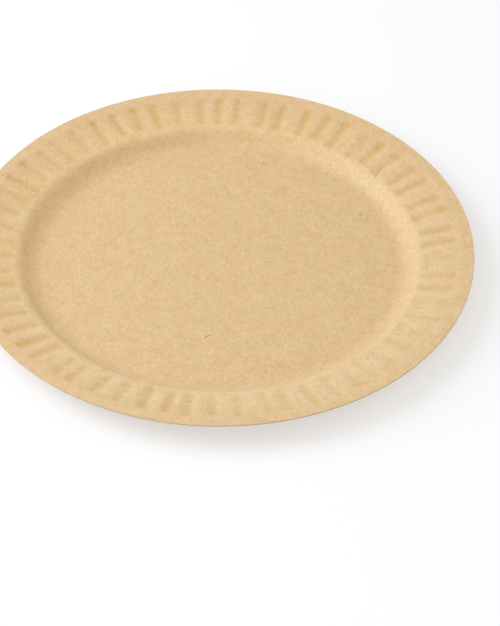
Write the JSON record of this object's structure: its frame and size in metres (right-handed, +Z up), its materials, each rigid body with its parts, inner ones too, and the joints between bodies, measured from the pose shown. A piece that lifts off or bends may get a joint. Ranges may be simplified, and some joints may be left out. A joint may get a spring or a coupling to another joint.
{
  "type": "disposable plate",
  "caption": "Round kraft paperboard plate with a shallow well, a fluted rim and a plain outer border.",
  "frame": {"origin": "centre of the underside of the flat floor, on the surface the plate stands on", "axes": "+Z up, out of the well; +Y runs through the middle of one flute"},
  "size_m": [0.23, 0.23, 0.011],
  "materials": {
    "kraft_board": "uncoated unbleached kraft paperboard, matt, with a faint fibre mottle"
  },
  "bodies": {
    "root": {"paper_plate": "kraft_board"}
  },
  "joints": []
}
